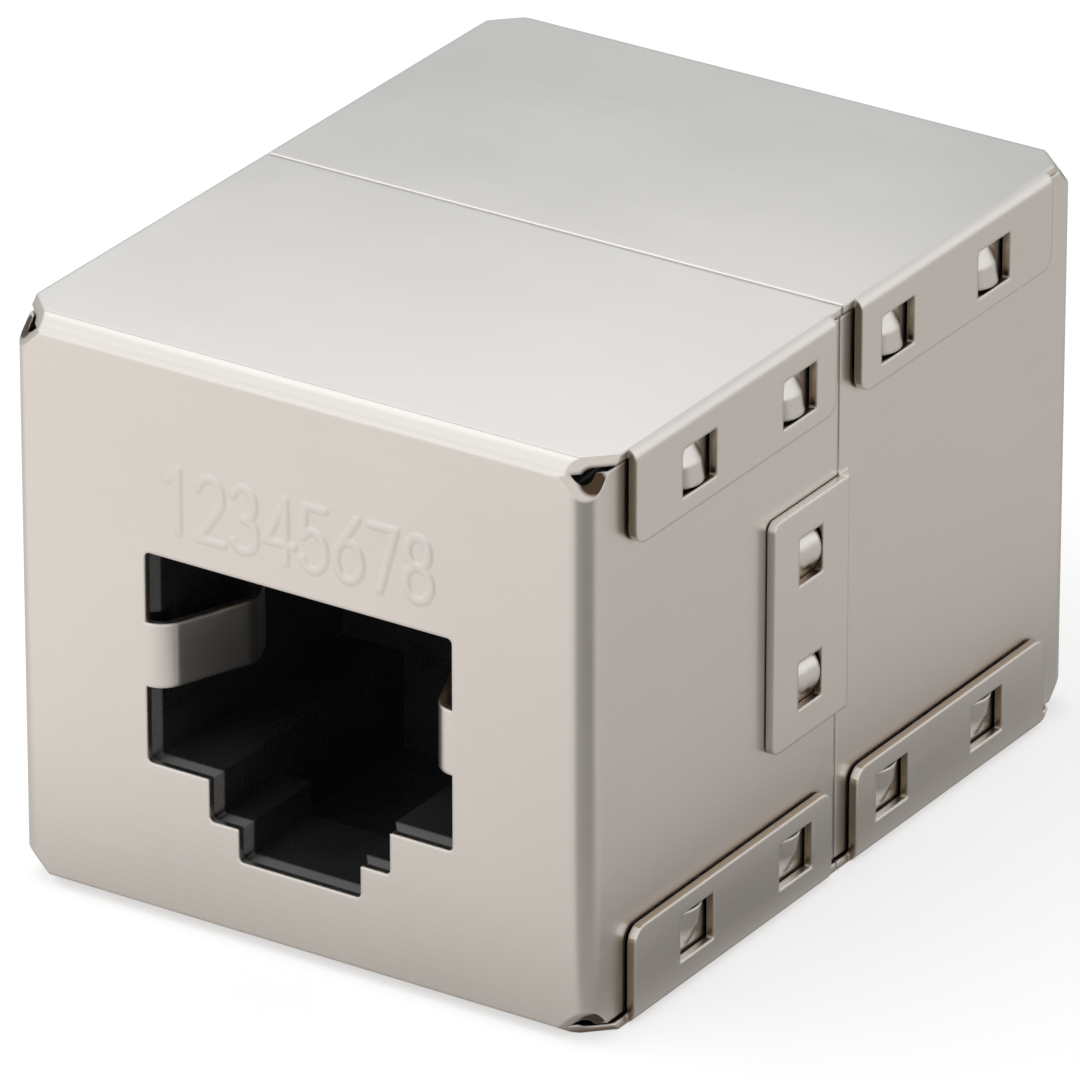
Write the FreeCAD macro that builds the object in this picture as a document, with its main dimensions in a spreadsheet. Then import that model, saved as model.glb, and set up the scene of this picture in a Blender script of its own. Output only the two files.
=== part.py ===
import FreeCAD, Part
import math
import os
from types import SimpleNamespace

import Sketcher

# RJ45 inline coupler: two folded sheet shells round two jacks that meet on a circuit board.
#
# X is the width, Y runs from the front socket to the rear one and Z is up. The origin is under the
# middle of the coupler. Every piece of the front half is drawn in place, and its twin in the rear
# half is the same piece turned half round about Z. Millimetres and degrees.

DIMENSIONS = [
    # name, size, what it is
    ("length", 30.8, "front face to rear face"),
    ("width", 22.8, "over the side walls, without the lips"),
    ("height", 21.0, "bottom plate to top plate"),
    ("sheet", 0.3, "thickness of the shell sheet"),
    ("fold_radius", 1.0, "outer radius where the face folds into the plates"),
    ("side_fold_radius", 0.8, "outer radius where the face folds into the side walls"),
    ("lip_fold_radius", 0.45, "outer radius where a plate folds into a lip"),
    ("corner_cut", 0.95, "square corner of the shell to the cut across it"),
    ("seam_gap", 0.08, "gap between the two shells"),
    ("lip_gap", 0.1, "side wall to the inside of a lip or the tab"),
    ("wall_drop", 0.45, "outside of a plate to the edge of a side wall"),
    ("lip_height", 3.5, "outside of a plate to the free edge of its lips"),
    ("lip_setback", 2.25, "face to the near end of a lip"),
    ("lip_relief", 0.8, "middle of the coupler to the far end of a lip"),
    ("lip_corner", 0.6, "radius of the free corners of a lip"),
    ("window_length", 2.1, "lip window along the coupler"),
    ("window_height", 1.75, "lip and tab window, upright"),
    ("window_edge", 1.1, "outside of a plate to its windows"),
    ("window_pitch", 6.2, "from one lip window to the next"),
    ("latch_width", 1.7, "lip latch across its ramp"),
    ("latch_ramp", 1.45, "length of a lip latch ramp"),
    ("latch_gap", 0.12, "slit under the sheared end of a latch"),
    ("tab_gap", 0.04, "side wall to the tab over it"),
    ("tab_reach", 4.5, "middle of the coupler to the end of the tab"),
    ("tab_height", 8.6, "tab, upright"),
    ("tab_corner", 0.35, "radius of the free corners of the tab"),
    ("tab_joggle", 0.5, "length of the step that lifts the tab"),
    ("tab_window_length", 1.5, "tab window along the coupler"),
    ("tab_window_setback", 1.45, "middle of the coupler to a tab window"),
    ("tab_window_spacing", 4.6, "from one tab window to the other"),
    ("tab_latch_width", 1.5, "tab latch across its ramp"),
    ("tab_latch_ramp", 1.3, "length of a tab latch ramp"),
    ("mouth_width", 12.2, "width of the opening in the face"),
    ("mouth_floor", 5.8, "bottom of the coupler to the plug ledge"),
    ("mouth_top", 13.6, "bottom of the coupler to the top of the opening"),
    ("step_width", 7.25, "width of the shoulder under the ledge"),
    ("step_floor", 4.25, "bottom of the coupler to that shoulder"),
    ("slot_width", 4.9, "width of the latch slot"),
    ("slot_floor", 3.05, "bottom of the coupler to the latch slot"),
    ("mouth_corner", 0.2, "radius in the corners of the opening"),
    ("spring_width", 2.35, "ground spring, upright"),
    ("spring_level", 9.8, "bottom of the coupler to the middle of the springs"),
    ("spring_bend", 0.85, "bend of a ground spring at its root, on its middle line"),
    ("spring_angle", 68, "angle between a ground spring and the face"),
    ("spring_reach", 1.95, "how far a ground spring stands into the opening"),
    ("spring_crest", 0.8, "bend at the crest of a ground spring"),
    ("spring_return", 1.1, "free end of a ground spring behind its crest"),
    ("core_gap", 0.1, "shell to the housing inside it"),
    ("socket_inset", 0.2, "edge of the opening to the side of the plug cavity"),
    ("socket_lift", 0.12, "edge of the opening to the ledges of the plug cavity"),
    ("socket_wall", 0.7, "end of the plug cavity to the contact carrier"),
    ("lead_in", 0.35, "chamfer round the mouth of the plug cavity"),
    ("catch_depth", 4.1, "face to the catch behind the latch slot"),
    ("catch_drop", 0.9, "latch slot down to the floor behind the catch"),
    ("contact_pitch", 1.016, "from one contact to the next"),
    ("wire", 0.4, "side of the square contact wire"),
    ("wire_gap", 0.1, "contact wire to each side of its slot"),
    ("run_level", 0.5, "roof of the cavity up to the wire in its comb"),
    ("comb_start", 2.0, "face to the comb of contact slots"),
    ("hairpin_corner", 0.9, "face to the corner that the hairpin rounds off"),
    ("hairpin_bend", 0.4, "bend of the hairpin"),
    ("tip_gap", 0.7, "end of the plug cavity to the tip of a contact"),
    ("tip_level", 10.8, "bottom of the coupler to the tip of a contact"),
    ("row_pitch", 2.54, "lower row of tails to the upper row"),
    ("carrier_standoff", 0.8, "contact carrier to the circuit board"),
    ("carrier_length", 1.8, "carrier along the coupler"),
    ("carrier_width", 10.6, "carrier, across"),
    ("carrier_skirt", 0.4, "roof of the cavity down to the foot of the carrier"),
    ("carrier_head", 0.9, "upper row of tails to the top of the carrier"),
    ("carrier_gap", 0.05, "carrier to its pocket in the housing"),
    ("leg_inset", 0.8, "front of the carrier to the upright leg of a contact"),
    ("board", 1.2, "thickness of the circuit board"),
    ("board_inset", 0.4, "shell to the edge of the circuit board"),
    ("tail", 0.5, "contact tail beyond the circuit board"),
    ("pin_hole", 0.62, "diameter of the holes in the circuit board"),
]
CONTACTS = 8
TURNED = FreeCAD.Placement(FreeCAD.Vector(), FreeCAD.Rotation(FreeCAD.Vector(0, 0, 1), 180))
PLANES = {"XY": ("XY_Plane", 1), "XZ": ("XZ_Plane", -1), "YZ": ("YZ_Plane", 1)}


class Size:
    """A length with the spreadsheet expression that gives it."""

    def __init__(self, number, text):
        self.number = float(number)
        self.text = text

    def __neg__(self):
        return Size(-self.number, f"-({self.text})")

    def __add__(self, other):
        other = as_size(other)
        return Size(self.number + other.number, f"({self.text} + {other.text})")

    def __sub__(self, other):
        other = as_size(other)
        return Size(self.number - other.number, f"({self.text} - {other.text})")

    def __mul__(self, other):
        other = as_size(other)
        return Size(self.number * other.number, f"({self.text} * {other.text})")

    def __truediv__(self, other):
        other = as_size(other)
        return Size(self.number / other.number, f"({self.text} / {other.text})")

    __rmul__ = __mul__


def as_size(value):
    return value if isinstance(value, Size) else Size(value, f"({value})")


def cosine(angle):
    return Size(math.cos(math.radians(angle.number)), f"cos({angle.text} * 1 deg)")


def sine(angle):
    return Size(math.sin(math.radians(angle.number)), f"sin({angle.text} * 1 deg)")


def tangent(angle):
    return Size(math.tan(math.radians(angle.number)), f"tan({angle.text} * 1 deg)")


def root(value):
    return Size(math.sqrt(value.number), f"sqrt({value.text})")


def make_sheet(document):
    """The spreadsheet of driving dimensions, and those dimensions by name."""
    sheet = document.addObject("Spreadsheet::Sheet", "Sizes")
    for row, (name, size, meaning) in enumerate(DIMENSIONS, start=1):
        sheet.set(f"A{row}", name)
        sheet.set(f"B{row}", str(size))
        sheet.setAlias(f"B{row}", name)
        sheet.set(f"C{row}", meaning)
    document.recompute()
    return SimpleNamespace(**{name: Size(getattr(sheet, name), f"Sizes.{name}") for name, _, _ in DIMENSIONS})


def bind(thing, path, size):
    size = as_size(size)
    thing.setExpression(path, size.text)


def add_sketch(body, name, plane, at):
    """An empty sketch parallel to an origin plane of the body, at a place along that plane's axis."""
    role, sense = PLANES[plane]
    sketch = body.newObject("Sketcher::SketchObject", name)
    origin_plane = next(f for f in body.Origin.OriginFeatures if f.Role == role)
    sketch.AttachmentSupport = [(origin_plane, "")]
    sketch.MapMode = "FlatFace"
    bind(sketch, ".AttachmentOffset.Base.z", sense * as_size(at))
    return sketch


def add_slanted_sketch(body, name, place, normal):
    """An empty sketch through a place, square to a direction."""
    sketch = add_sketch(body, name, "XY", place[2])
    turn = FreeCAD.Rotation(FreeCAD.Vector(0, 0, 1), FreeCAD.Vector(*normal))
    sketch.AttachmentOffset = FreeCAD.Placement(FreeCAD.Vector(), turn)
    for axis, size in zip("xyz", place):
        bind(sketch, f".AttachmentOffset.Base.{axis}", size)
    return sketch


def draw(sketch, corners, closed=True):
    """Straight edges through the corners, each (x, y) or (x, y, radius), every size bound to the sheet."""
    count = len(corners)
    points = [FreeCAD.Vector(as_size(c[0]).number, as_size(c[1]).number, 0) for c in corners]
    edges = count if closed else count - 1
    headings = [(points[(i + 1) % count] - points[i]).normalize() for i in range(edges)]
    turns = {}
    for i in range(count):
        if len(corners[i]) == 3:
            before, after = headings[i - 1], headings[i]
            turns[i] = math.atan2(before.cross(after).z, before.dot(after))
    trims = {i: as_size(corners[i][2]).number * math.tan(abs(turn) / 2) for i, turn in turns.items()}

    lines = []
    for i in range(edges):
        start = points[i] + headings[i] * trims.get(i, 0)
        end = points[(i + 1) % count] - headings[i] * trims.get((i + 1) % count, 0)
        lines.append(sketch.addGeometry(Part.LineSegment(start, end), False))

    for i, corner in enumerate(corners):
        geometry, position = (lines[i], 1) if i < edges else (lines[-1], 2)
        if i in turns:
            geometry = round_corner(sketch, points[i], headings[i], turns[i], trims[i],
                                    as_size(corner[2]), lines[i - 1], lines[i])
        elif closed or 0 < i < count - 1:
            sketch.addConstraint(Sketcher.Constraint("Coincident", lines[i - 1], 2, lines[i], 1))
        fix_points(sketch, [(geometry, position, *corner[:2])])


def fix_points(sketch, points):
    """Hold points of a sketch, each (geometry, position, x, y), at sizes from the sheet."""
    for geometry, position, x, y in points:
        for direction, value in (("DistanceX", x), ("DistanceY", y)):
            size = as_size(value)
            index = sketch.addConstraint(
                Sketcher.Constraint(direction, -1, 1, geometry, position, size.number))
            bind(sketch, f"Constraints[{index}]", size)


def fix_radius(sketch, arc, radius):
    index = sketch.addConstraint(Sketcher.Constraint("Radius", arc, radius.number))
    bind(sketch, f"Constraints[{index}]", radius)


def round_corner(sketch, corner, heading, turn, trim, radius, before, after):
    """Round one corner with an arc tangent to both its lines, and return the point that marks it."""
    sense = 1 if turn > 0 else -1
    side = FreeCAD.Vector(-heading.y, heading.x, 0) * sense
    end = corner + heading * trim
    centre = end + side * radius.number
    end_angle = math.atan2(end.y - centre.y, end.x - centre.x)
    angles = sorted((end_angle - turn, end_angle))
    circle = Part.Circle(centre, FreeCAD.Vector(0, 0, 1), radius.number)
    arc = sketch.addGeometry(Part.ArcOfCircle(circle, *angles), False)
    arc_start, arc_end = (1, 2) if sense > 0 else (2, 1)
    mark = sketch.addGeometry(Part.Point(corner), True)
    sketch.addConstraint([
        Sketcher.Constraint("Tangent", before, 2, arc, arc_start),
        Sketcher.Constraint("Tangent", arc, arc_end, after, 1),
        Sketcher.Constraint("PointOnObject", mark, 1, before),
        Sketcher.Constraint("PointOnObject", mark, 1, after),
    ])
    fix_radius(sketch, arc, radius)
    return mark


def extrude(body, kind, name, plane, start, length, outlines, toward=1):
    """A Pad or Pocket of outlines, from a place on the plane's axis for a length towards + or -."""
    sketch = add_sketch(body, f"{name}_outline", plane, start)
    for outline in outlines:
        draw(sketch, outline)
    sense = PLANES[plane][1] if kind == "Pad" else -PLANES[plane][1]
    return extrude_sketch(body, kind, name, sketch, length, sense != toward)


def extrude_sketch(body, kind, name, sketch, length, reverse):
    feature = body.newObject(f"PartDesign::{kind}", name)
    feature.Profile = sketch
    bind(feature, "Length", length)
    feature.Reversed = reverse
    feature.Refine = False
    return feature


def sweep(body, name, section_plane, section_at, section, path_plane, path_at, path):
    """A solid of one section carried along an open path."""
    profile = add_sketch(body, f"{name}_section", section_plane, section_at)
    draw(profile, section)
    spine = add_sketch(body, f"{name}_path", path_plane, path_at)
    draw(spine, path, closed=False)
    feature = body.newObject("PartDesign::AdditivePipe", name)
    feature.Profile = profile
    feature.Spine = spine
    feature.Transition = "Right corner"
    feature.Refine = False
    return feature


def edges_at(feature, y, reach):
    """The names of the feature's edges in an upright plane across the coupler, out to a reach."""
    names = []
    for number, edge in enumerate(feature.Shape.Edges, start=1):
        if all(abs(vertex.Y - y.number) < 1e-6 and abs(vertex.X) < reach.number + 1e-6
               for vertex in edge.Vertexes):
            names.append(f"Edge{number}")
    return names


def rectangle(left, bottom, right, top):
    return [(left, bottom), (right, bottom), (right, top), (left, top)]


def box_about(x, y, half_x, half_y):
    x, y = as_size(x), as_size(y)
    return rectangle(x - half_x, y - half_y, x + half_x, y + half_y)


def keyed_outline(side, floor, top, step, step_floor, slot, slot_floor, radius=None):
    """The plug opening seen from the front: a wide top, a shoulder and the latch slot."""
    bend = () if radius is None else (radius,)
    right = [(slot, slot_floor, *bend), (slot, step_floor), (step, step_floor, *bend), (step, floor),
             (side, floor, *bend), (side, top, *bend)]
    left = [(-corner[0], *corner[1:]) for corner in reversed(right)]
    return right + left


def places(d):
    """Places that several pieces share."""
    front = -d.length / 2
    wall = d.width / 2
    roof = d.mouth_top - d.socket_lift
    run = roof + d.run_level
    board_face = -d.board / 2
    carrier_start = board_face - d.carrier_standoff - d.carrier_length
    return SimpleNamespace(
        front=front,
        wall=wall,
        seam=-d.seam_gap / 2,
        lip=wall + d.lip_gap + d.sheet,
        plate_edge=wall + d.lip_gap,
        core_front=front + d.sheet,
        core_side=wall - d.sheet - d.core_gap,
        core_floor=d.sheet + d.core_gap,
        core_top=d.height - d.sheet - d.core_gap,
        board_face=board_face,
        socket_end=carrier_start - d.socket_wall,
        roof=roof,
        run=run,
        rows=(run, run + d.row_pitch),
        carrier_start=carrier_start,
        carrier_foot=roof - d.carrier_skirt,
        carrier_top=run + d.row_pitch + d.carrier_head,
    )


def contact_place(d, index):
    """The place across the jack of one contact, counted from 0."""
    return (index - (CONTACTS - 1) / 2) * d.contact_pitch


def make_shell(document, name, d, p):
    """One folded half: the face, two side walls, two plates with lips, springs, latches and a tab."""
    body = document.addObject("PartDesign::Body", name)
    ceiling = d.height - d.sheet
    inner_fold = d.fold_radius - d.sheet
    face = [(p.seam, 0), (p.front, 0, d.fold_radius), (p.front, d.height, d.fold_radius), (p.seam, d.height),
            (p.seam, ceiling), (p.front + d.sheet, ceiling, inner_fold),
            (p.front + d.sheet, d.sheet, inner_fold), (p.seam, d.sheet)]
    extrude(body, "Pad", "face", "YZ", -p.wall, 2 * p.wall, [face])
    round_face_sides(body, d, p)
    for level in ("bottom", "top"):
        make_plate(body, level, d, p)
    cut_windows(body, d, p)

    inside = p.wall - d.sheet
    wall_height = d.height - 2 * d.wall_drop
    block = [(-p.wall, p.seam), (-p.wall, p.front, d.side_fold_radius),
             (p.wall, p.front, d.side_fold_radius), (p.wall, p.seam)]
    extrude(body, "Pad", "walls_outside", "XY", d.wall_drop, wall_height, [block])
    add_latches(body, "Revolution", d, p)
    hollow = [(-inside, p.seam), (-inside, p.front + d.sheet, d.side_fold_radius - d.sheet),
              (inside, p.front + d.sheet, d.side_fold_radius - d.sheet), (inside, p.seam)]
    extrude(body, "Pocket", "walls_inside", "XY", d.wall_drop, wall_height, [hollow])
    add_latches(body, "Groove", d, p)
    cut_latch_slits(body, d, p)
    cut_corners(body, d, p)

    mouth = keyed_outline(d.mouth_width / 2, d.mouth_floor, d.mouth_top, d.step_width / 2, d.step_floor,
                          d.slot_width / 2, d.slot_floor, d.mouth_corner)
    extrude(body, "Pocket", "mouth", "XZ", p.front, d.sheet, [mouth])
    for side in (-1, 1):
        add_ground_spring(body, side, d, p)
    add_tab(body, d, p)
    return body


def round_face_sides(body, d, p):
    """Round the upright corners of the face as the side walls round it."""
    sketch = add_sketch(body, "face_sides_outline", "XY", 0)
    for side in (-1, 1):
        spandrel(sketch, side * p.wall, -side, p.front, 1, d.side_fold_radius)
    extrude_sketch(body, "Pocket", "face_sides", sketch, d.height, True)


def cut_corners(body, d, p):
    """Open each corner where two folds of the face meet, by a cut square to its diagonal."""
    inward = d.corner_cut / math.sqrt(3)
    for side, word in ((-1, "left"), (1, "right")):
        for level, up in (("bottom", -1), ("top", 1)):
            name = f"{level}_{word}_corner"
            height = d.height - inward if up > 0 else inward
            place = (side * (p.wall - inward), p.front + inward, height)
            sketch = add_slanted_sketch(body, f"{name}_outline", place, (-side, 1, -up))
            draw(sketch, box_about(0, 0, 2 * d.corner_cut, 2 * d.corner_cut))
            extrude_sketch(body, "Pocket", name, sketch, d.corner_cut, False)


def make_plate(body, level, d, p):
    """The top or bottom plate behind the folds of the face, with a lip down each side."""
    lip_inside = p.lip - d.sheet
    inner_lip_fold = d.lip_fold_radius - d.sheet

    def away(distance):
        return d.height - distance if level == "top" else as_size(distance)

    flat = rectangle(-p.plate_edge, p.front + d.side_fold_radius, p.plate_edge, p.seam)
    extrude(body, "Pad", f"{level}_plate", "XY", away(0), d.sheet, [flat], toward=-1 if level == "top" else 1)

    channel = [(-p.lip, away(d.lip_height)), (-p.lip, away(0), d.lip_fold_radius),
               (p.lip, away(0), d.lip_fold_radius), (p.lip, away(d.lip_height)),
               (lip_inside, away(d.lip_height)), (lip_inside, away(d.sheet), inner_lip_fold),
               (-lip_inside, away(d.sheet), inner_lip_fold), (-lip_inside, away(d.lip_height))]
    lip_length = d.length / 2 - d.lip_setback - d.lip_relief
    extrude(body, "Pad", f"{level}_lips", "XZ", p.front + d.lip_setback, lip_length, [channel])


def window_place(d, row):
    """The middle of a lip window along the coupler."""
    return -(row + 0.5) * d.window_pitch


def cut_windows(body, d, p):
    """Two windows in each lip, and the rounded free corners of the lips."""
    low = d.window_edge
    high = d.window_edge + d.window_height
    half = d.window_length / 2
    outlines = []
    for row in range(2):
        middle = window_place(d, row)
        outlines.append(rectangle(middle - half, low, middle + half, high))
        outlines.append(rectangle(middle - half, d.height - high, middle + half, d.height - low))
    depth = d.sheet + d.lip_gap / 2
    for side, word in ((-1, "left"), (1, "right")):
        extrude(body, "Pocket", f"{word}_windows", "YZ", side * p.lip, depth, outlines, toward=-side)
        cut_lip_corners(body, word, side, d, p, depth)


def cut_lip_corners(body, word, side, d, p, depth):
    """The spandrels outside the round free corners of the lips on one side."""
    outlines = []
    for end, inward in ((p.front + d.lip_setback, 1), (-d.lip_relief, -1)):
        for edge, upward in ((d.lip_height, -1), (d.height - d.lip_height, 1)):
            outlines.append((end, inward, edge, upward))
    sketch = add_sketch(body, f"{word}_lip_corners_outline", "YZ", side * p.lip)
    for end, inward, edge, upward in outlines:
        spandrel(sketch, end, inward, edge, upward, d.lip_corner)
    extrude_sketch(body, "Pocket", f"{word}_lip_corners", sketch, depth, side < 0)


def spandrel(sketch, x, inward, y, upward, radius):
    """The area between a square corner and the arc that rounds it off."""
    x, y, radius = as_size(x), as_size(y), as_size(radius)
    along = x + inward * radius
    up = y + upward * radius
    corner = FreeCAD.Vector(x.number, y.number, 0)
    on_edge = FreeCAD.Vector(along.number, y.number, 0)
    on_end = FreeCAD.Vector(x.number, up.number, 0)
    middle = FreeCAD.Vector(along.number, up.number, 0)
    first = sketch.addGeometry(Part.LineSegment(corner, on_edge), False)
    last = sketch.addGeometry(Part.LineSegment(on_end, corner), False)
    angle = math.atan2(on_edge.y - middle.y, on_edge.x - middle.x)
    other = math.atan2(on_end.y - middle.y, on_end.x - middle.x)
    forward = (other - angle) % (2 * math.pi) < math.pi
    angles = (angle, angle + math.pi / 2) if forward else (other, other + math.pi / 2)
    arc = sketch.addGeometry(
        Part.ArcOfCircle(Part.Circle(middle, FreeCAD.Vector(0, 0, 1), radius.number), *angles), False)
    near, far = (1, 2) if forward else (2, 1)
    sketch.addConstraint([
        Sketcher.Constraint("Coincident", last, 2, first, 1),
        Sketcher.Constraint("Coincident", first, 2, arc, near),
        Sketcher.Constraint("Coincident", arc, far, last, 1),
    ])
    fix_points(sketch, [(first, 1, x, y), (first, 2, along, y), (last, 1, x, up)])
    fix_radius(sketch, arc, radius)


def add_latches(body, kind, d, p):
    """The latches of the side walls: the outside of each as a Revolution, its hollow back as a Groove."""
    for side, word in ((-1, "left"), (1, "right")):
        form = latch_form(kind, side, d.lip_gap, d.latch_width, d.latch_ramp, d, p)
        sheared = d.window_edge + d.window_height - d.latch_gap
        for row in range(2):
            name = f"{word}_latches_{row + 1}_{kind.lower()}"
            sketch = add_sketch(body, f"{name}_outline", "XZ", window_place(d, row))
            draw(sketch, [(x, sheared - along) for x, along in form])
            draw(sketch, [(x, d.height - sheared + along) for x, along in form])
            revolve(body, kind, name, sketch, form[0][0], d.height)
    form = latch_form(kind, 1, d.tab_gap, d.tab_latch_width, d.tab_latch_ramp, d, p)
    sheared = -(d.tab_window_setback + d.latch_gap)
    for sense, word in ((-1, "lower"), (1, "upper")):
        name = f"{word}_tab_latch_{kind.lower()}"
        sketch = add_sketch(body, f"{name}_outline", "XY", d.height / 2 + sense * d.tab_window_spacing / 2)
        draw(sketch, [(x, sheared - along) for x, along in form])
        revolve(body, kind, name, sketch, form[0][0], d.height)


def latch_form(kind, side, gap, width, ramp, d, p):
    """Half the length section of a latch, from its axis outwards, as (across, along from the sheared end).

    The latch stands out by the sheet and the gap at its sheared end and runs down to nothing along
    its ramp, in two cones outside and one behind. Across, it is an arc that gives its width.
    """
    rise = d.sheet + gap
    crest = (width * width / 4 + rise * rise) / (2 * rise)
    slope = (ramp * ramp + rise * rise) / (2 * rise)
    half_drop = slope - root(slope * slope - ramp * ramp / 4)
    axis = side * (p.wall + rise - crest)
    if kind == "Groove":
        slant = [(crest - d.sheet, as_size(0)), (crest - rise - d.sheet, ramp)]
    else:
        slant = [(crest, as_size(0)), (crest - half_drop, ramp / 2), (crest - rise, ramp)]
    form = [(axis, as_size(0))]
    form += [(axis + side * radius, along) for radius, along in slant]
    return form + [(axis, ramp)]


def revolve(body, kind, name, sketch, axis, length):
    """Half a turn of a sketch about an upright line in it, to both sides of the sketch."""
    line = Part.LineSegment(FreeCAD.Vector(axis.number, 0, 0), FreeCAD.Vector(axis.number, length.number, 0))
    number = sketch.addGeometry(line, True)
    fix_points(sketch, [(number, 1, axis, 0), (number, 2, axis, length)])
    feature = body.newObject(f"PartDesign::{kind}", name)
    feature.Profile = sketch
    feature.ReferenceAxis = (sketch, ["Axis0"])
    feature.Angle = 180
    feature.Midplane = True
    feature.Refine = False
    return feature


def cut_latch_slits(body, d, p):
    """The slits under the sheared ends of the latches."""
    low = d.window_edge + d.window_height - d.latch_gap
    high = low + d.latch_gap
    half = d.latch_width / 2
    outlines = []
    for row in range(2):
        middle = window_place(d, row)
        outlines.append(rectangle(middle - half, low, middle + half, high))
        outlines.append(rectangle(middle - half, d.height - high, middle + half, d.height - low))
    extrude(body, "Pocket", "latch_slits", "YZ", -p.wall, 2 * p.wall, outlines)
    end = -d.tab_window_setback
    outlines = []
    for side in (-1, 1):
        middle = d.height / 2 + side * d.tab_window_spacing / 2
        half = d.tab_latch_width / 2
        outlines.append(rectangle(end - d.latch_gap, middle - half, end, middle + half))
    extrude(body, "Pocket", "tab_latch_slits", "YZ", p.wall - d.sheet, d.sheet, outlines)


def add_ground_spring(body, side, d, p):
    """A finger folded in from one side edge of the opening to press on a plug's screen."""
    word = "left" if side < 0 else "right"
    edge = d.mouth_width / 2
    root = edge + d.sheet
    corner_x = edge - d.spring_bend * tangent(d.spring_angle / 2)
    middle = p.front + d.sheet / 2
    crest_x = edge - d.spring_reach
    crest_y = middle + (corner_x - crest_x) * tangent(d.spring_angle)
    end_x = crest_x + d.spring_return * cosine(d.spring_angle)
    end_y = crest_y + d.spring_return * sine(d.spring_angle)
    half = d.spring_width / 2
    section = rectangle(p.front, d.spring_level - half, p.front + d.sheet, d.spring_level + half)
    path = [(side * root, middle), (side * corner_x, middle, d.spring_bend),
            (side * crest_x, crest_y, d.spring_crest), (side * end_x, end_y)]
    sweep(body, f"{word}_ground_spring", "YZ", side * root, section, "XY", d.spring_level, path)


def add_tab(body, d, p):
    """The tab that laps over the other shell: lifted by the sheet, with two windows, on the left wall."""
    lift = d.sheet + d.tab_gap
    lifted = p.seam - d.sheet / 2
    start = lifted - d.tab_joggle
    root = start - d.sheet
    inside = p.wall - d.sheet
    bend = d.sheet / 2
    strip = [(-inside, root), (-p.wall, root), (-p.wall, start, bend), (-(p.wall + lift), lifted, bend),
             (-(p.wall + lift), d.tab_reach), (-(inside + lift), d.tab_reach),
             (-(inside + lift), p.seam, bend), (-inside, start + d.sheet / 2, bend)]
    bottom = d.height / 2 - d.tab_height / 2
    extrude(body, "Pad", "tab", "XY", bottom, d.tab_height, [strip])
    outlines = []
    for side in (-1, 1):
        middle = d.height / 2 + side * d.tab_window_spacing / 2
        outlines.append(rectangle(d.tab_window_setback, middle - d.window_height / 2,
                                  d.tab_window_setback + d.tab_window_length, middle + d.window_height / 2))
    extrude(body, "Pocket", "tab_windows", "YZ", -(p.wall + lift), d.sheet + d.tab_gap / 2, outlines)
    sketch = add_sketch(body, "tab_corners_outline", "YZ", -(p.wall + lift))
    spandrel(sketch, d.tab_reach, -1, bottom, 1, d.tab_corner)
    spandrel(sketch, d.tab_reach, -1, bottom + d.tab_height, -1, d.tab_corner)
    last = extrude_sketch(body, "Pocket", "tab_corners", sketch, d.sheet + d.tab_gap / 2, True)
    last.Refine = True


def make_jack_housing(document, name, d, p):
    """The moulded jack body: the keyed plug cavity, the comb in its roof and the carrier pocket."""
    body = document.addObject("PartDesign::Body", name)
    block = rectangle(-p.core_side, p.core_front, p.core_side, p.board_face)
    solid = extrude(body, "Pad", "block", "XY", p.core_floor, p.core_top - p.core_floor, [block])
    body.Document.recompute()
    bevel = body.newObject("PartDesign::Chamfer", "face_bevel")
    bevel.Base = (solid, edges_at(solid, p.core_front, p.core_side))
    bind(bevel, "Size", d.fold_radius)

    inset = d.socket_inset
    lift = d.socket_lift
    cavity = keyed_outline(d.mouth_width / 2 - inset, d.mouth_floor + lift, p.roof,
                           d.step_width / 2 - inset, d.step_floor + lift,
                           d.slot_width / 2 - inset, d.slot_floor + lift)
    hollow = extrude(body, "Pocket", "plug_cavity", "XZ", p.core_front, p.socket_end - p.core_front, [cavity])
    body.Document.recompute()
    lead_in = body.newObject("PartDesign::Chamfer", "lead_in")
    lead_in.Base = (hollow, edges_at(hollow, p.core_front, d.mouth_width / 2))
    bind(lead_in, "Size", d.lead_in)

    half_step = d.step_width / 2 - inset
    slot_floor = d.slot_floor + lift
    behind_catch = rectangle(-half_step, slot_floor - d.catch_drop, half_step, d.step_floor + lift)
    catch_start = p.front + d.catch_depth
    extrude(body, "Pocket", "catch", "XZ", catch_start, p.socket_end - catch_start, [behind_catch])

    spring_half = d.spring_width / 2 + d.socket_inset
    relief = rectangle(-(d.mouth_width / 2 + inset), d.spring_level - spring_half,
                       d.mouth_width / 2 + inset, d.spring_level + spring_half)
    extrude(body, "Pocket", "spring_relief", "XZ", p.core_front, d.spring_bend + d.sheet, [relief])

    half_slot = d.wire / 2 + d.wire_gap
    slots = [rectangle(contact_place(d, i) - half_slot, p.roof - d.wire, contact_place(d, i) + half_slot,
                       p.run + half_slot) for i in range(CONTACTS)]
    comb_start = p.front + d.comb_start
    comb_end = p.carrier_start + d.carrier_gap
    extrude(body, "Pocket", "comb", "XZ", comb_start, comb_end - comb_start, slots)

    gap = d.carrier_gap
    half_pocket = d.carrier_width / 2 + gap
    pocket = rectangle(-half_pocket, p.carrier_foot - gap, half_pocket, p.carrier_top + gap)
    extrude(body, "Pocket", "carrier_pocket", "XZ", p.carrier_start, p.board_face - p.carrier_start, [pocket])
    return body


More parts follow.
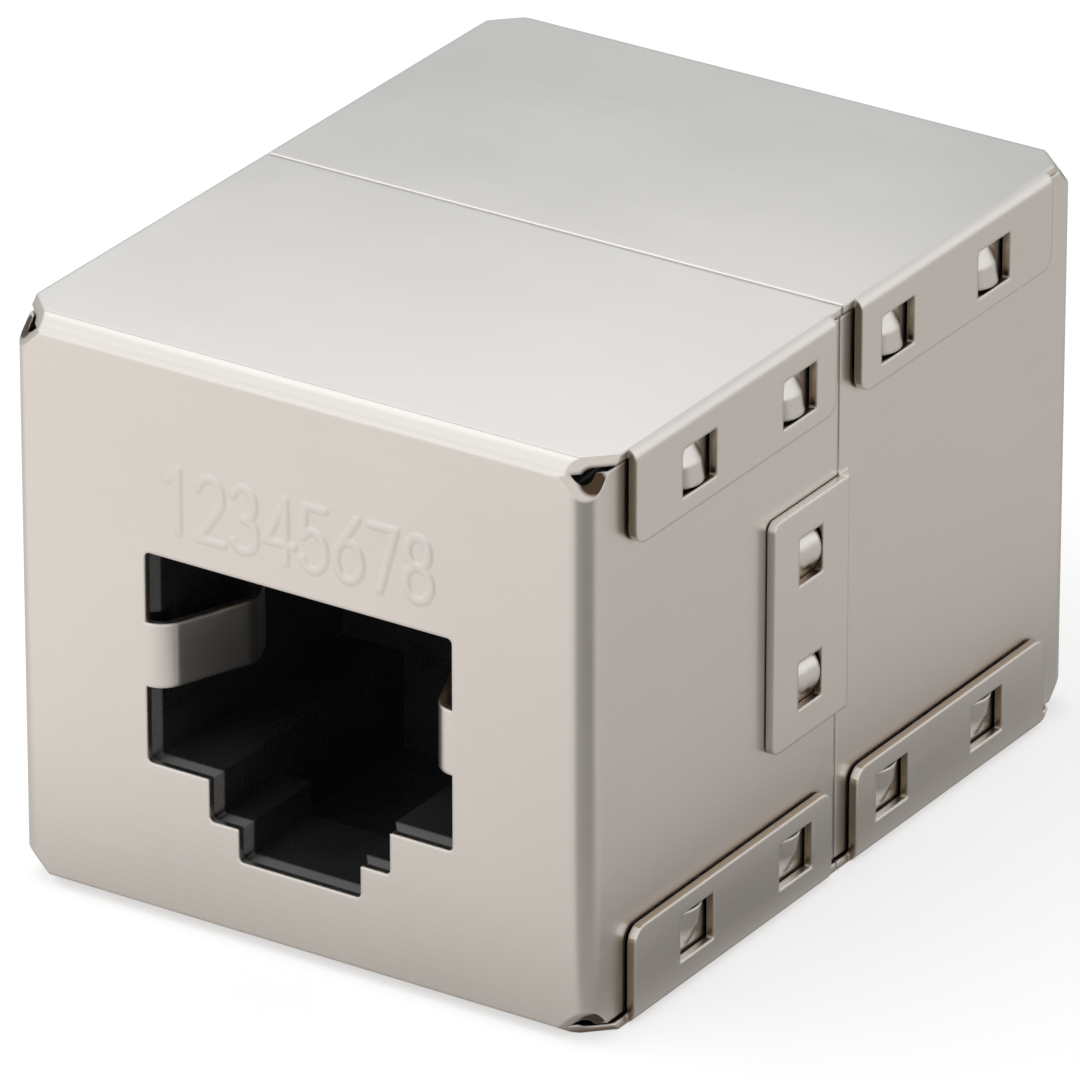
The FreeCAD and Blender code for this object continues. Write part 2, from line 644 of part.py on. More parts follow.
def make_carrier(document, name, d, p):
    """The insert that holds the eight contacts: a block with an upright slot for each."""
    body = document.addObject("PartDesign::Body", name)
    half = d.carrier_width / 2
    block = rectangle(-half, p.carrier_foot, half, p.carrier_top)
    extrude(body, "Pad", "block", "XZ", p.carrier_start, d.carrier_length, [block])
    half_slot = d.wire / 2 + d.wire_gap
    slots = []
    for i in range(CONTACTS):
        middle = contact_place(d, i)
        top = p.rows[i % 2] + half_slot
        slots.append(rectangle(middle - half_slot, p.carrier_foot, middle + half_slot, top))
    extrude(body, "Pocket", "slots", "XZ", p.carrier_start, d.carrier_length, slots)
    return body


def make_contact(document, name, index, d, p):
    """One spring contact: a tail through the board, a leg in the carrier, a run and the hairpin tip."""
    body = document.addObject("PartDesign::Body", name)
    row = p.rows[index % 2]
    middle = contact_place(d, index)
    tail_end = d.board / 2 + d.tail
    leg = p.carrier_start + d.leg_inset
    path = [(tail_end, row)]
    if row is not p.run:
        path += [(leg, row), (leg, p.run)]
    path += [(p.front + d.hairpin_corner, p.run, d.hairpin_bend), (p.socket_end - d.tip_gap, d.tip_level)]
    section = box_about(middle, row, d.wire / 2, d.wire / 2)
    sweep(body, "wire", "XZ", tail_end, section, "YZ", middle, path)
    return body


def make_board(document, name, d, p):
    """The circuit board between the jacks, with two rows of pin holes."""
    body = document.addObject("PartDesign::Body", name)
    side = p.wall - d.sheet - d.board_inset
    edge = d.sheet + d.board_inset
    plate = rectangle(-side, edge, side, d.height - edge)
    extrude(body, "Pad", "plate", "XZ", p.board_face, d.board, [plate])
    first = contact_place(d, 0)
    outlines = [octagon(first, row, d.pin_hole) for row in p.rows]
    holes = extrude(body, "Pocket", "pin_holes", "XZ", p.board_face, d.board, outlines)
    pattern = body.newObject("PartDesign::LinearPattern", "pin_hole_rows")
    pattern.Originals = [holes]
    pattern.Direction = (holes.Profile[0], ["H_Axis"])
    bind(pattern, "Length", (CONTACTS - 1) * d.contact_pitch)
    pattern.Occurrences = CONTACTS
    body.Tip = pattern
    return body


def octagon(x, y, across):
    """A drilled hole as eight flats, with the drill's width across them."""
    far = across / 2
    near = far * math.tan(math.radians(22.5))
    corners = ((far, -near), (far, near), (near, far), (-near, far),
               (-far, near), (-far, -near), (-near, -far), (near, -far))
    return [(x + right, y + up) for right, up in corners]


def turned_copy(document, name, original):
    """A piece of the rear half: a clone of its front twin, turned half round."""
    body = document.addObject("PartDesign::Body", name)
    clone = body.newObject("PartDesign::FeatureBase", f"{name}_clone")
    clone.BaseFeature = original
    body.Tip = clone
    body.Placement = TURNED
    return body


def make_pieces(document):
    """Every piece of the coupler, the rear ones as the front ones turned half round."""
    d = make_sheet(document)
    p = places(d)
    pieces = [make_shell(document, "front_shell", d, p),
              make_jack_housing(document, "front_jack_housing", d, p),
              make_carrier(document, "front_contact_carrier", d, p)]
    pieces += [make_contact(document, f"front_contact_{i + 1}", i, d, p) for i in range(CONTACTS)]
    pieces += [turned_copy(document, piece.Label.replace("front", "rear"), piece) for piece in pieces]
    pieces.append(make_board(document, "circuit_board", d, p))
    document.recompute()
    return pieces


def check(document, pieces):
    """Stop on any failed object, on a cut that removes nothing and on an unsound piece."""
    for thing in document.Objects:
        if "Invalid" in thing.State or "Error" in thing.State:
            raise RuntimeError(f"{thing.Label} failed: {thing.State}")
        if thing.TypeId == "PartDesign::Pocket" or "Subtractive" in thing.TypeId:
            if thing.Shape.Volume >= thing.BaseFeature.Shape.Volume:
                raise RuntimeError(f"{thing.Label} cuts nothing")
    for piece in pieces:
        if piece.Shape.isNull() or not piece.Shape.isValid() or len(piece.Shape.Solids) != 1:
            raise RuntimeError(f"{piece.Label} is not one sound solid")


def main():
    document = FreeCAD.newDocument("rj45_inline_coupler")
    pieces = make_pieces(document)
    check(document, pieces)
    os.makedirs("parts", exist_ok=True)
    for piece in pieces:
        piece.Shape.exportStep(f"parts/{piece.Label}.step")
        print(f"{piece.Label}: {piece.Shape.Volume:.2f} mm3")


main()
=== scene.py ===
import math

import bpy
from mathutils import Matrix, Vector


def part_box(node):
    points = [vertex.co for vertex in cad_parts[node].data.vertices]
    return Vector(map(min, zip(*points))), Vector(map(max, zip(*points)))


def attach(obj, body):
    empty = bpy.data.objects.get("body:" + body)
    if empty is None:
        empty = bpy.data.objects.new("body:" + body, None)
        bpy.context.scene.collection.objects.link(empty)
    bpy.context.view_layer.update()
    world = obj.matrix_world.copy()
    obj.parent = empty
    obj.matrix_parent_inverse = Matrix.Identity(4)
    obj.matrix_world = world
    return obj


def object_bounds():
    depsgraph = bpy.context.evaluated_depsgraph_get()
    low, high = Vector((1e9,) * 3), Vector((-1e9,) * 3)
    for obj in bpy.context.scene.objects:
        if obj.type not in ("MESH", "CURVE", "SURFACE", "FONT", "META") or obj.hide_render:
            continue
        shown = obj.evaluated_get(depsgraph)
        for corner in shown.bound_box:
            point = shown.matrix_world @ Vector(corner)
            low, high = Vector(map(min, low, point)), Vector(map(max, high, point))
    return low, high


# The looks of an RJ45 inline coupler: satin nickel shells, black moulded jacks and gold contacts, on a
# pale floor in soft studio light. Metres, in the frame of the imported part.

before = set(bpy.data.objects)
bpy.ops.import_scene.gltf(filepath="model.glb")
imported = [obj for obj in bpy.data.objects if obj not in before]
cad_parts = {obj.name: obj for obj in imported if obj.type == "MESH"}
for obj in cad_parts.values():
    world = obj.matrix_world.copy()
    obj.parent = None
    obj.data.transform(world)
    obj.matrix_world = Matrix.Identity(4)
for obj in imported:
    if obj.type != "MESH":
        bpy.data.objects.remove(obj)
cad_low, cad_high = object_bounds()
cad_centre = (cad_low + cad_high) / 2
cad_half = (cad_high - cad_low) / 2

MM = 0.001

CAMERA_AZIMUTH = 32.93
CAMERA_ELEVATION = 25.65
CAMERA_DISTANCE = 427.2 * MM
CAMERA_LENS = 416.7
SENSOR_WIDTH = 36.0
AIM_FROM_CENTRE = Vector((-1.48, 1.60, -2.12)) * MM

WHITE = (1, 1, 1, 1)
NICKEL = (0.775, 0.738, 0.700, 1)
NICKEL_SHADE = (0.25, 0.18, 0.12, 1)
NICKEL_HIGHLIGHT = (0.98, 0.94, 0.87, 1)
# Cut steel, darkened further as painted shade.
SHEARED_AND_SHADE = (0.40, 0.325, 0.25, 1)
CORNER_SHADE = (0.07, 0.046, 0.026, 1)
SPRING_PAINTED_LIGHT = (0.97, 0.93, 0.88, 1)
HOUSING_BLACK = (0.017, 0.018, 0.020, 1)
CARRIER_BLACK = (0.03, 0.03, 0.032, 1)
GOLD = (0.86, 0.62, 0.27, 1)
MASK_GREEN = (0.012, 0.085, 0.03, 1)

# Most of a noise texture's values lie between these two.
NOISE_LOW, NOISE_HIGH = 0.3, 0.7


# Node trees

MIX_SOCKETS = {"FLOAT": (2, 3, 0), "VECTOR": (4, 5, 1), "RGBA": (6, 7, 2)}


def feed(tree, made, inputs):
    """Gives a node its inputs, each a socket to link or a constant."""
    for name, value in inputs.items():
        if isinstance(value, bpy.types.NodeSocket):
            tree.links.new(value, made.inputs[name])
        else:
            made.inputs[name].default_value = value


def node(tree, kind, inputs=None, **settings):
    made = tree.nodes.new(kind)
    for name, value in settings.items():
        setattr(made, name, value)
    feed(tree, made, inputs or {})
    return made


def maths(tree, operation, first, second):
    return node(tree, "ShaderNodeMath", {0: first, 1: second}, operation=operation).outputs[0]


def product(tree, first, *others):
    for other in others:
        first = maths(tree, "MULTIPLY", first, other)
    return first


def above(tree, value, limit):
    return maths(tree, "GREATER_THAN", value, limit)


def below(tree, value, limit):
    return maths(tree, "LESS_THAN", value, limit)


def rest_of(tree, share):
    return maths(tree, "SUBTRACT", 1.0, share)


def vector_maths(tree, operation, first, second):
    """A step of vector arithmetic, whose result is a number where the operation gives one."""
    made = node(tree, "ShaderNodeVectorMath", {0: first, 1: second}, operation=operation)
    return made.outputs["Value" if operation == "DOT_PRODUCT" else "Vector"]


def scaled(tree, vector, scale):
    return node(tree, "ShaderNodeVectorMath", {0: vector, "Scale": scale}, operation="SCALE").outputs[0]


def absolute(tree, vector):
    return node(tree, "ShaderNodeVectorMath", {0: vector}, operation="ABSOLUTE").outputs[0]


def split(tree, vector):
    """A vector's sizes along X, Y and Z."""
    return node(tree, "ShaderNodeSeparateXYZ", {0: vector}).outputs


def mix(tree, kind, share, first, second):
    low, high, result = MIX_SOCKETS[kind]
    inputs = {"Factor": share, low: first, high: second}
    return node(tree, "ShaderNodeMix", inputs, data_type=kind).outputs[result]


def ramp(tree, value, low, high, to_low=0.0, to_high=1.0):
    """The value carried from one range to another, held at both ends."""
    inputs = {"Value": value, "From Min": low, "From Max": high, "To Min": to_low, "To Max": to_high}
    return node(tree, "ShaderNodeMapRange", inputs).outputs[0]


def object_place(tree):
    return node(tree, "ShaderNodeTexCoord").outputs["Object"]


def noise(tree, scales, detail, roughness):
    """Noise over the object, with its own scale along each axis, in features per millimetre."""
    placed = scaled(tree, vector_maths(tree, "MULTIPLY", object_place(tree), scales), 1 / MM)
    inputs = {"Vector": placed, "Scale": 1.0, "Detail": detail, "Roughness": roughness}
    return node(tree, "ShaderNodeTexNoise", inputs).outputs["Fac"]


def spread_noise(tree, value, to_low, to_high):
    return ramp(tree, value, NOISE_LOW, NOISE_HIGH, to_low, to_high)


def rounded_normal(tree, radius, samples):
    """The surface's normal, turned near each edge as if the edge were rounded."""
    return node(tree, "ShaderNodeBevel", {"Radius": radius}, samples=samples).outputs[0]


def bumped(tree, height, strength, distance, normal):
    inputs = {"Strength": strength, "Distance": distance, "Height": height, "Normal": normal}
    return node(tree, "ShaderNodeBump", inputs).outputs[0]


def empty_tree(owner):
    owner.use_nodes = True
    owner.node_tree.nodes.clear()
    return owner.node_tree


def new_material(name):
    material = bpy.data.materials.new(name)
    tree = empty_tree(material)
    surface = node(tree, "ShaderNodeBsdfPrincipled")
    node(tree, "ShaderNodeOutputMaterial", {"Surface": surface.outputs[0]})
    return material, tree, surface


# Satin nickel. Its masks are products of shares from 0 to 1. "turned" is how squarely the surface faces
# each axis, and "out" how far a point is from the object's middle along each. Neither has a sign, so what
# they mark is alike on both halves and both sides. Where a limit is a pair, the mask fades between them.

TURNED_FULLY = 0.9
TURNED_MOSTLY = 0.7
TURNED_TO_ALL = 0.45

# How far in from the box's faces the shell's plates and lips lie.
SHEET_REACH = 1.1 * MM

TAB_WINDOW_Y, TAB_WINDOW_Z = 3.2 * MM, 3.5 * MM
TAB_BORDER_Y = (5.2 * MM, 5.8 * MM)
TAB_BORDER_Z = (5.0 * MM, 5.6 * MM)
TAB_OPENNESS = 0.75

SPRING_X = 8.5 * MM
SPRING_SETBACK = 0.5 * MM

CORNER_HOLE_RADIUS = (0.40 * MM, 0.54 * MM)
CORNER_SHEARED_SHARE = 0.4

SEAM_EDGE_WIDTH = (0.12 * MM, 0.19 * MM)
EDGE_RADIUS = 0.16 * MM
EDGE_BEND = (0.72, 0.93)
HIGHLIGHT_SHARE = 0.85

CREVICE_REACH = 0.5 * MM
CREVICE_OPENNESS = (0.3, 0.72)

# Noise scales along each axis. The grain's marks are long where the scale is low.
GRAIN_ALONG_X = (0.1, 10.0, 10.0)
GRAIN_ALONG_Y = (10.0, 0.1, 10.0)
CLOUD = (0.12, 0.12, 0.12)


def fading(tree, value, limits):
    """1 below the first limit, 0 above the second."""
    return ramp(tree, value, *limits, 1.0, 0.0)


def tab_border_mask(tree, out):
    """Round the border of the tab, half way up the side, where the painted crevice shade and the sheared
    brown are held back.
    """
    window = product(tree, below(tree, out["Y"], TAB_WINDOW_Y), below(tree, out["Z"], TAB_WINDOW_Z))
    return product(tree, fading(tree, out["Z"], TAB_BORDER_Z), fading(tree, out["Y"], TAB_BORDER_Y),
                   rest_of(tree, window))


def sheared_mask(tree, turned, out):
    """The sheet's thickness where it shows on the side walls: at the seam, the lips and the windows."""
    inset = cad_half - Vector((1, 1, 1)) * SHEET_REACH
    endwise = product(tree, above(tree, turned["Y"], TURNED_FULLY), below(tree, out["Y"], inset.y))
    upright = product(tree, above(tree, turned["Z"], TURNED_FULLY), below(tree, out["Z"], inset.z))
    return product(tree, maths(tree, "MAXIMUM", endwise, upright), above(tree, out["X"], inset.x))


def spring_mask(tree, out):
    """The ground springs, inside the mouth, which are given a paler colour as painted light."""
    return product(tree, below(tree, out["X"], SPRING_X),
                   below(tree, out["Y"], cad_half.y - SPRING_SETBACK),
                   below(tree, out["Z"], cad_half.z - SHEET_REACH))


def slanted_mask(tree, turned):
    """The cut across each corner of the box."""
    least = maths(tree, "MINIMUM", maths(tree, "MINIMUM", turned["X"], turned["Y"]), turned["Z"])
    return above(tree, least, TURNED_TO_ALL)


def hole_mask(tree, spread):
    """Near the line that goes in from each corner of the box, equally far along all three axes."""
    from_corner = vector_maths(tree, "SUBTRACT", cad_half, spread)
    mean = vector_maths(tree, "DOT_PRODUCT", from_corner, (1 / 3, 1 / 3, 1 / 3))
    from_line = vector_maths(tree, "SUBTRACT", from_corner, scaled(tree, (1, 1, 1), mean))
    distance = node(tree, "ShaderNodeVectorMath", {0: from_line}, operation="LENGTH").outputs["Value"]
    return fading(tree, distance, CORNER_HOLE_RADIUS)


def seam_mask(tree, turned, past_seam):
    """Painted highlight on the rear half's edge along the seam in the top and bottom plates."""
    return product(tree, fading(tree, past_seam, SEAM_EDGE_WIDTH), above(tree, past_seam, 0.0),
                   above(tree, turned["Z"], TURNED_MOSTLY))


def satin_nickel():
    """Nickel plate over rolled sheet: painted highlight on edges, painted shade in crevices, sheared edges
    brown (cut steel and painted shade).
    """
    material, tree, surface = new_material("satin_nickel")
    geometry = node(tree, "ShaderNodeNewGeometry")
    turned = split(tree, absolute(tree, geometry.outputs["True Normal"]))
    from_centre = vector_maths(tree, "SUBTRACT", object_place(tree), cad_centre)
    spread = absolute(tree, from_centre)
    out = split(tree, spread)

    tab_border = tab_border_mask(tree, out)
    # The sheet's cut faces, and partly the corner cuts, turn brown: partly the colour of cut steel, partly
    # painted shade.
    sheared_and_shade = product(tree, sheared_mask(tree, turned, out), rest_of(tree, tab_border))
    slanted = slanted_mask(tree, turned)
    # Painted shade: a dark brown disc on the corner cuts round each corner hole, with no highlight on it.
    painted_hole_shade = product(tree, hole_mask(tree, spread), slanted)
    seam_highlight = seam_mask(tree, turned, split(tree, from_centre)["Y"])

    # The grain runs round the upright folds, so it turns with the walls.
    on_side = above(tree, turned["X"], TURNED_MOSTLY)
    grain_scales = mix(tree, "VECTOR", on_side, GRAIN_ALONG_X, GRAIN_ALONG_Y)
    grain = noise(tree, grain_scales, detail=3.0, roughness=0.5)
    cloud = noise(tree, CLOUD, detail=3.0, roughness=0.55)

    rounded = rounded_normal(tree, EDGE_RADIUS, samples=4)
    bend = vector_maths(tree, "DOT_PRODUCT", rounded, geometry.outputs["Normal"])
    # Painted highlight: a pale cream rim where the rounded normal turns at each edge, and along the seam.
    edge_highlight = product(tree, fading(tree, bend, EDGE_BEND), rest_of(tree, painted_hole_shade))
    edge_highlight = product(tree, maths(tree, "MAXIMUM", edge_highlight, seam_highlight), HIGHLIGHT_SHARE)
    # Painted shade: where occlusion finds little open air, in crevices and between parts, the colour turns
    # dark brown.
    occlusion = {"Distance": CREVICE_REACH, "Normal": rounded}
    openness = node(tree, "ShaderNodeAmbientOcclusion", occlusion, samples=4).outputs["AO"]
    openness = ramp(tree, openness, *CREVICE_OPENNESS)
    # Around the tab's border the painted crevice shade is held back.
    openness = maths(tree, "MAXIMUM", openness, product(tree, tab_border, TAB_OPENNESS))

    tone = product(tree, spread_noise(tree, grain, 0.985, 1.015), spread_noise(tree, cloud, 0.98, 1.02))
    colour = scaled(tree, NICKEL[:3], tone)
    # Painted light: the ground springs get a paler colour than the rest of the shell.
    for share, other in ((sheared_and_shade, SHEARED_AND_SHADE), (product(tree, slanted, CORNER_SHEARED_SHARE), SHEARED_AND_SHADE),
                         (painted_hole_shade, CORNER_SHADE), (spring_mask(tree, out), SPRING_PAINTED_LIGHT),
                         (rest_of(tree, openness), NICKEL_SHADE), (edge_highlight, NICKEL_HIGHLIGHT)):
        colour = mix(tree, "RGBA", share, colour, other)

    roughness = maths(tree, "ADD", spread_noise(tree, grain, 0.29, 0.33),
                      spread_noise(tree, cloud, -0.02, 0.02))
    feed(tree, surface, {"Base Color": colour, "Metallic": 1.0, "Roughness": roughness,
                         "Normal": bumped(tree, grain, 0.15, distance=0.0014 * MM, normal=rounded)})
    return material


# The other materials

def moulded(name, colour, rough_low, rough_high):
    """Moulded plastic: a fine spark-eroded skin with faint flow marks."""
    material, tree, surface = new_material(name)
    skin = noise(tree, (6.0, 6.0, 6.0), detail=3.0, roughness=0.6)
    flow = noise(tree, (0.25, 0.25, 0.5), detail=2.0, roughness=0.5)
    roughness = ramp(tree, product(tree, skin, flow), 0.1, 0.4, rough_low, rough_high)
    rounded = rounded_normal(tree, 0.12 * MM, samples=3)
    feed(tree, surface, {"Base Color": scaled(tree, colour[:3], spread_noise(tree, flow, 0.8, 1.25)),
                         "Roughness": roughness, "Specular IOR Level": 0.9,
                         "Normal": bumped(tree, skin, 0.2, distance=0.006 * MM, normal=rounded)})
    return material


def gold_plate():
    """Gold over drawn wire, with fine draw marks along it."""
    material, tree, surface = new_material("gold_plate")
    drawn = noise(tree, (9.0, 0.4, 9.0), detail=3.0, roughness=0.5)
    feed(tree, surface, {"Base Color": scaled(tree, GOLD[:3], spread_noise(tree, drawn, 0.9, 1.05)),
                         "Metallic": 1.0, "Roughness": spread_noise(tree, drawn, 0.18, 0.3)})
    return material


def solder_mask():
    """Green lacquer over glass cloth, with the weave just showing."""
    material, tree, surface = new_material("solder_mask")
    weave = noise(tree, (4.0, 4.0, 0.8), detail=2.0, roughness=0.5)
    feed(tree, surface, {"Base Color": scaled(tree, MASK_GREEN[:3], spread_noise(tree, weave, 0.85, 1.15)),
                         "Roughness": spread_noise(tree, weave, 0.25, 0.4)})
    return material


def dress(names, material):
    for name in names:
        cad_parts[name].material_slots[0].material = material


nickel = satin_nickel()
ends = ("front", "rear")
carriers = [f"{end}_contact_carrier" for end in ends]
dress([f"{end}_shell" for end in ends], nickel)
dress([f"{end}_jack_housing" for end in ends], moulded("black_housing", HOUSING_BLACK, 0.22, 0.42))
dress(carriers, moulded("black_carrier", CARRIER_BLACK, 0.5, 0.65))
dress([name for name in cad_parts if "contact_" in name and name not in carriers], gold_plate())
dress(["circuit_board"], solder_mask())


# Pin numerals raised on the front face, above the socket

NUMERAL_HEIGHT = 2.3 * MM
NUMERAL_WIDTH = 1.15 * MM
NUMERAL_PITCH = 1.37 * MM
NUMERAL_FOOT = 14.65 * MM
STROKE_HALF = 0.21 * MM
STROKE_EDGE = 0.15 * MM
STROKE_RISE = 0.045 * MM
RIM_SINK = 0.05 * STROKE_RISE
CELL = 0.03 * MM
RIM_WIDTH = 1.5 * CELL
MARGIN = STROKE_HALF + 2 * CELL


def bow(x, y, across, up, start, end, steps=20):
    """Points of an elliptical arc, with its angles in degrees."""
    turns = [math.radians(start + (end - start) * i / steps) for i in range(steps + 1)]
    return [(x + across * math.cos(turn), y + up * math.sin(turn)) for turn in turns]


# The strokes of 1 to 8, each in a box one wide and one high.
NUMERALS = (
    [[(0.22, 0.80), (0.58, 1.0), (0.58, 0.0)]],
    [bow(0.48, 0.71, 0.42, 0.29, 165, -35) + [(0.08, 0.0), (0.94, 0.0)]],
    [bow(0.46, 0.75, 0.38, 0.25, 155, -90) + bow(0.46, 0.26, 0.44, 0.26, 90, -150)],
    [[(0.72, 0.0), (0.72, 1.0), (0.04, 0.29), (0.98, 0.29)]],
    [[(0.88, 1.0), (0.20, 1.0)] + bow(0.47, 0.31, 0.43, 0.31, 140, -150)],
    [[(0.80, 1.0)] + bow(0.50, 0.31, 0.43, 0.31, 150, 510)],
    [[(0.05, 1.0), (0.93, 1.0), (0.38, 0.0)]],
    [bow(0.50, 0.765, 0.36, 0.235, -90, 270), bow(0.50, 0.265, 0.43, 0.265, 90, 450)],
)


def distance_to(x, y, strokes):
    """The distance from a point to the nearest line of the strokes."""
    nearest = math.inf
    for stroke in strokes:
        for (x1, y1), (x2, y2) in zip(stroke, stroke[1:]):
            run, rise = x2 - x1, y2 - y1
            share = ((x - x1) * run + (y - y1) * rise) / (run * run + rise * rise)
            share = min(1.0, max(0.0, share))
            nearest = min(nearest, math.hypot(x - x1 - share * run, y - y1 - share * rise))
    return nearest


def rise_at(outside):
    """The height of the ridge at a distance outside its stroke, or inside it where that is negative."""
    if outside > 0:
        return -RIM_SINK
    share = min(1.0, max(0.0, 1 + outside / STROKE_EDGE))
    return STROKE_RISE * 0.5 * (1 + math.cos(math.pi * share))


def emboss(strokes, left, foot, face):
    """A grid over one numeral, raised to a round ridge along its strokes and trimmed to them."""
    strokes = [[(left + x * NUMERAL_WIDTH, foot + y * NUMERAL_HEIGHT) for x, y in stroke]
               for stroke in strokes]
    columns = int((NUMERAL_WIDTH + 2 * MARGIN) / CELL) + 1
    rows = int((NUMERAL_HEIGHT + 2 * MARGIN) / CELL) + 1
    places, numbers = [], {}
    for row in range(rows):
        for column in range(columns):
            x, z = left - MARGIN + column * CELL, foot - MARGIN + row * CELL
            outside = distance_to(x, z, strokes) - STROKE_HALF
            if outside < RIM_WIDTH:
                numbers[row, column] = len(places)
                places.append((x, face - rise_at(outside), z))
    faces = []
    for row, column in numbers:
        corners = ((row, column), (row, column + 1), (row + 1, column + 1), (row + 1, column))
        if all(corner in numbers for corner in corners):
            faces.append([numbers[corner] for corner in corners])
    return places, faces


def make_numerals():
    shell_low, shell_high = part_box("front_shell")
    middle = (shell_low.x + shell_high.x) / 2
    places, faces = [], []
    for number, strokes in enumerate(NUMERALS):
        left = middle + (number - (len(NUMERALS) - 1) / 2) * NUMERAL_PITCH - NUMERAL_WIDTH / 2
        new_places, new_faces = emboss(strokes, left, shell_low.z + NUMERAL_FOOT, shell_low.y)
        faces += [[corner + len(places) for corner in face] for face in new_faces]
        places += new_places
    mesh = bpy.data.meshes.new("pin_numerals")
    mesh.from_pydata(places, [], faces)
    mesh.materials.append(nickel)
    mesh.shade_smooth()
    numerals = bpy.data.objects.new("pin_numerals", mesh)
    bpy.context.scene.collection.objects.link(numerals)
    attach(numerals, "root")


make_numerals()


# Studio

# SEEN is for what the camera sees and MIRRORED for what reflections show. The rest lights the object.
FLOOR_SIZE = 6.0
FLOOR_ALBEDO = 0.8
SEEN_ALBEDO, SEEN_GLOW = 0.5, 0.6
MIRRORED_ALBEDO, MIRRORED_GLOW = 0.5, 0.45
MIRRORED_TINT = (1.0, 0.965, 0.93, 1)

SKY_LIGHT, SKY_SEEN = 0.55, 1.0
BEHIND_AZIMUTH, BEHIND_ELEVATION = -147, 20
BEHIND_LOSS = 0.37
BEHIND_TINT = (0.92, 0.965, 1.0, 1)
OVERHEAD_LOSS = 0.2


def towards(azimuth, elevation):
    """The direction to a place round the object, with azimuth 0 in front of the front face."""
    a, e = math.radians(azimuth), math.radians(elevation)
    return Vector((math.sin(a) * math.cos(e), -math.cos(a) * math.cos(e), math.sin(e)))


def mirrored_brightness(tree):
    """How bright reflections show the floor, from 0 to 1: painted shade, dimmer close to the object and on
    its right.
    """
    place = node(tree, "ShaderNodeNewGeometry").outputs["Position"]
    front_right = Vector((cad_high.x, cad_low.y, 0))
    past = split(tree, vector_maths(tree, "SUBTRACT", place, front_right))

    # Each takes two distances past the object's front right corner, in millimetres, and a value for both.
    def by_x(low, high, to_low, to_high):
        return ramp(tree, past["X"], low * MM, high * MM, to_low, to_high)

    def by_y(low, high, to_low, to_high):
        return ramp(tree, past["Y"], low * MM, high * MM, to_low, to_high)

    front = product(tree, by_x(-34, -2, 1.0, 0.8), by_y(-8, 0, 1.0, 0.72))
    beside_fold = by_x(6, 26, 0.40, 0.31)
    beside_wall = by_x(2.5, 6.5, by_y(12, 36, 0.28, 0.48), 0.68)
    right = mix(tree, "FLOAT", by_y(0, 10, 0.0, 1.0), beside_fold, beside_wall)
    return mix(tree, "FLOAT", by_x(0, 1.5, 0.0, 1.0), front, right)


def make_floor():
    """A pale floor that keeps the object's shadow, with a glow to the eye, and in reflections a glow with
    painted shade.
    """
    bpy.ops.mesh.primitive_plane_add(size=FLOOR_SIZE, location=(cad_centre.x, cad_centre.y, cad_low.z))
    floor = bpy.context.object
    floor.name = "studio_floor"
    material = bpy.data.materials.new("pale_floor")
    tree = empty_tree(material)
    path = node(tree, "ShaderNodeLightPath")
    camera, glossy = path.outputs["Is Camera Ray"], path.outputs["Is Glossy Ray"]

    brightness = mirrored_brightness(tree)
    albedo = ramp(tree, camera, 0.0, 1.0, FLOOR_ALBEDO, SEEN_ALBEDO)
    albedo = ramp(tree, glossy, 0.0, 1.0, albedo, product(tree, brightness, MIRRORED_ALBEDO))
    tint = mix(tree, "RGBA", glossy, WHITE, MIRRORED_TINT)
    lit = node(tree, "ShaderNodeBsdfDiffuse", {"Color": scaled(tree, tint, albedo)})

    strength = maths(tree, "ADD", product(tree, camera, SEEN_GLOW),
                     product(tree, glossy, brightness, MIRRORED_GLOW))
    glow = node(tree, "ShaderNodeEmission", {"Color": tint, "Strength": strength})
    both = node(tree, "ShaderNodeAddShader", {0: lit.outputs[0], 1: glow.outputs[0]})
    node(tree, "ShaderNodeOutputMaterial", {"Surface": both.outputs[0]})
    floor.data.materials.append(material)


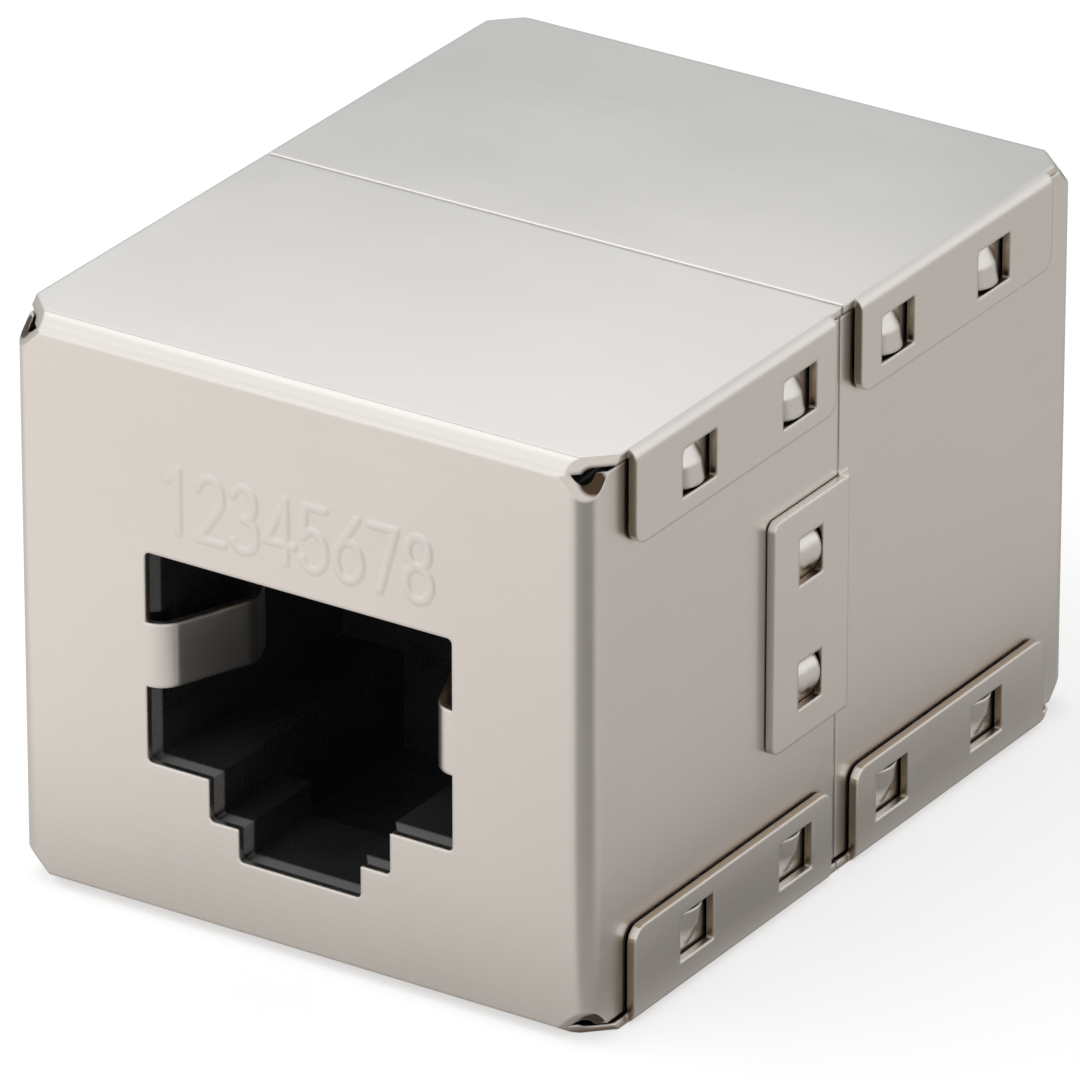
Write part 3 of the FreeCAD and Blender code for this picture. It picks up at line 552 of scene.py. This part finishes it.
def make_world():
    """White to the eye and to reflections, and a plain pale sky to everything else."""
    world = bpy.data.worlds.new("studio_sky")
    tree = empty_tree(world)
    path = node(tree, "ShaderNodeLightPath")
    glossy = path.outputs["Is Glossy Ray"]
    seen = maths(tree, "MAXIMUM", path.outputs["Is Camera Ray"], glossy)
    seen = maths(tree, "MAXIMUM", seen, path.outputs["Is Transmission Ray"])

    # In reflections the sky is a little darker behind the object and overhead.
    heading = node(tree, "ShaderNodeTexCoord").outputs["Generated"]
    behind = vector_maths(tree, "DOT_PRODUCT", heading, towards(BEHIND_AZIMUTH, BEHIND_ELEVATION))
    behind = product(tree, glossy, ramp(tree, behind, 0.5, 1.0))
    overhead = product(tree, glossy, ramp(tree, split(tree, heading)["Z"], 0.85, 1.0))
    strength = ramp(tree, seen, 0.0, 1.0, SKY_LIGHT, SKY_SEEN)
    strength = maths(tree, "SUBTRACT", strength, product(tree, behind, BEHIND_LOSS))
    strength = maths(tree, "SUBTRACT", strength, product(tree, overhead, OVERHEAD_LOSS))
    tint = mix(tree, "RGBA", behind, WHITE, BEHIND_TINT)
    sky = node(tree, "ShaderNodeBackground", {"Color": tint, "Strength": strength})
    node(tree, "ShaderNodeOutputWorld", {"Surface": sky.outputs[0]})
    bpy.context.scene.world = world


def place_round(thing, aim, azimuth, elevation, distance):
    """Puts a lamp or camera into the scene, at a place round the aim and facing it."""
    direction = towards(azimuth, elevation)
    thing.location = aim + direction * distance
    thing.rotation_euler = direction.to_track_quat("Z", "Y").to_euler()
    bpy.context.scene.collection.objects.link(thing)


def make_lamp(name, azimuth, elevation, distance, size, strength, aim=cad_centre, mirrored=True):
    """A square softbox. Its strength sets how bright its surface is, whatever its size."""
    data = bpy.data.lights.new(name, "AREA")
    data.shape = "SQUARE"
    data.size = size
    data.energy = strength * math.pi * size * size
    lamp = bpy.data.objects.new(name, data)
    lamp.visible_camera = False
    lamp.visible_glossy = mirrored
    place_round(lamp, aim, azimuth, elevation, distance)


def make_camera():
    data = bpy.data.cameras.new("camera")
    data.lens = CAMERA_LENS
    data.sensor_width = SENSOR_WIDTH
    data.clip_start = 0.01
    data.clip_end = 10.0
    camera = bpy.data.objects.new("camera", data)
    place_round(camera, cad_centre + AIM_FROM_CENTRE, CAMERA_AZIMUTH, CAMERA_ELEVATION, CAMERA_DISTANCE)
    bpy.context.scene.camera = camera


make_floor()
make_world()
make_lamp("key_light", -40, 50, distance=0.45, size=0.6, strength=1.15, mirrored=False)
make_lamp("sheen_light", -64, 52, distance=0.2, size=0.13, strength=0.14)
top_front_left = cad_centre + Vector((-7.0, -13.5, 10.5)) * MM
make_lamp("back_light", -150, 49, distance=0.06, size=0.055, strength=0.6, aim=top_front_left)
make_camera()

bpy.context.scene.view_settings.view_transform = "Standard"
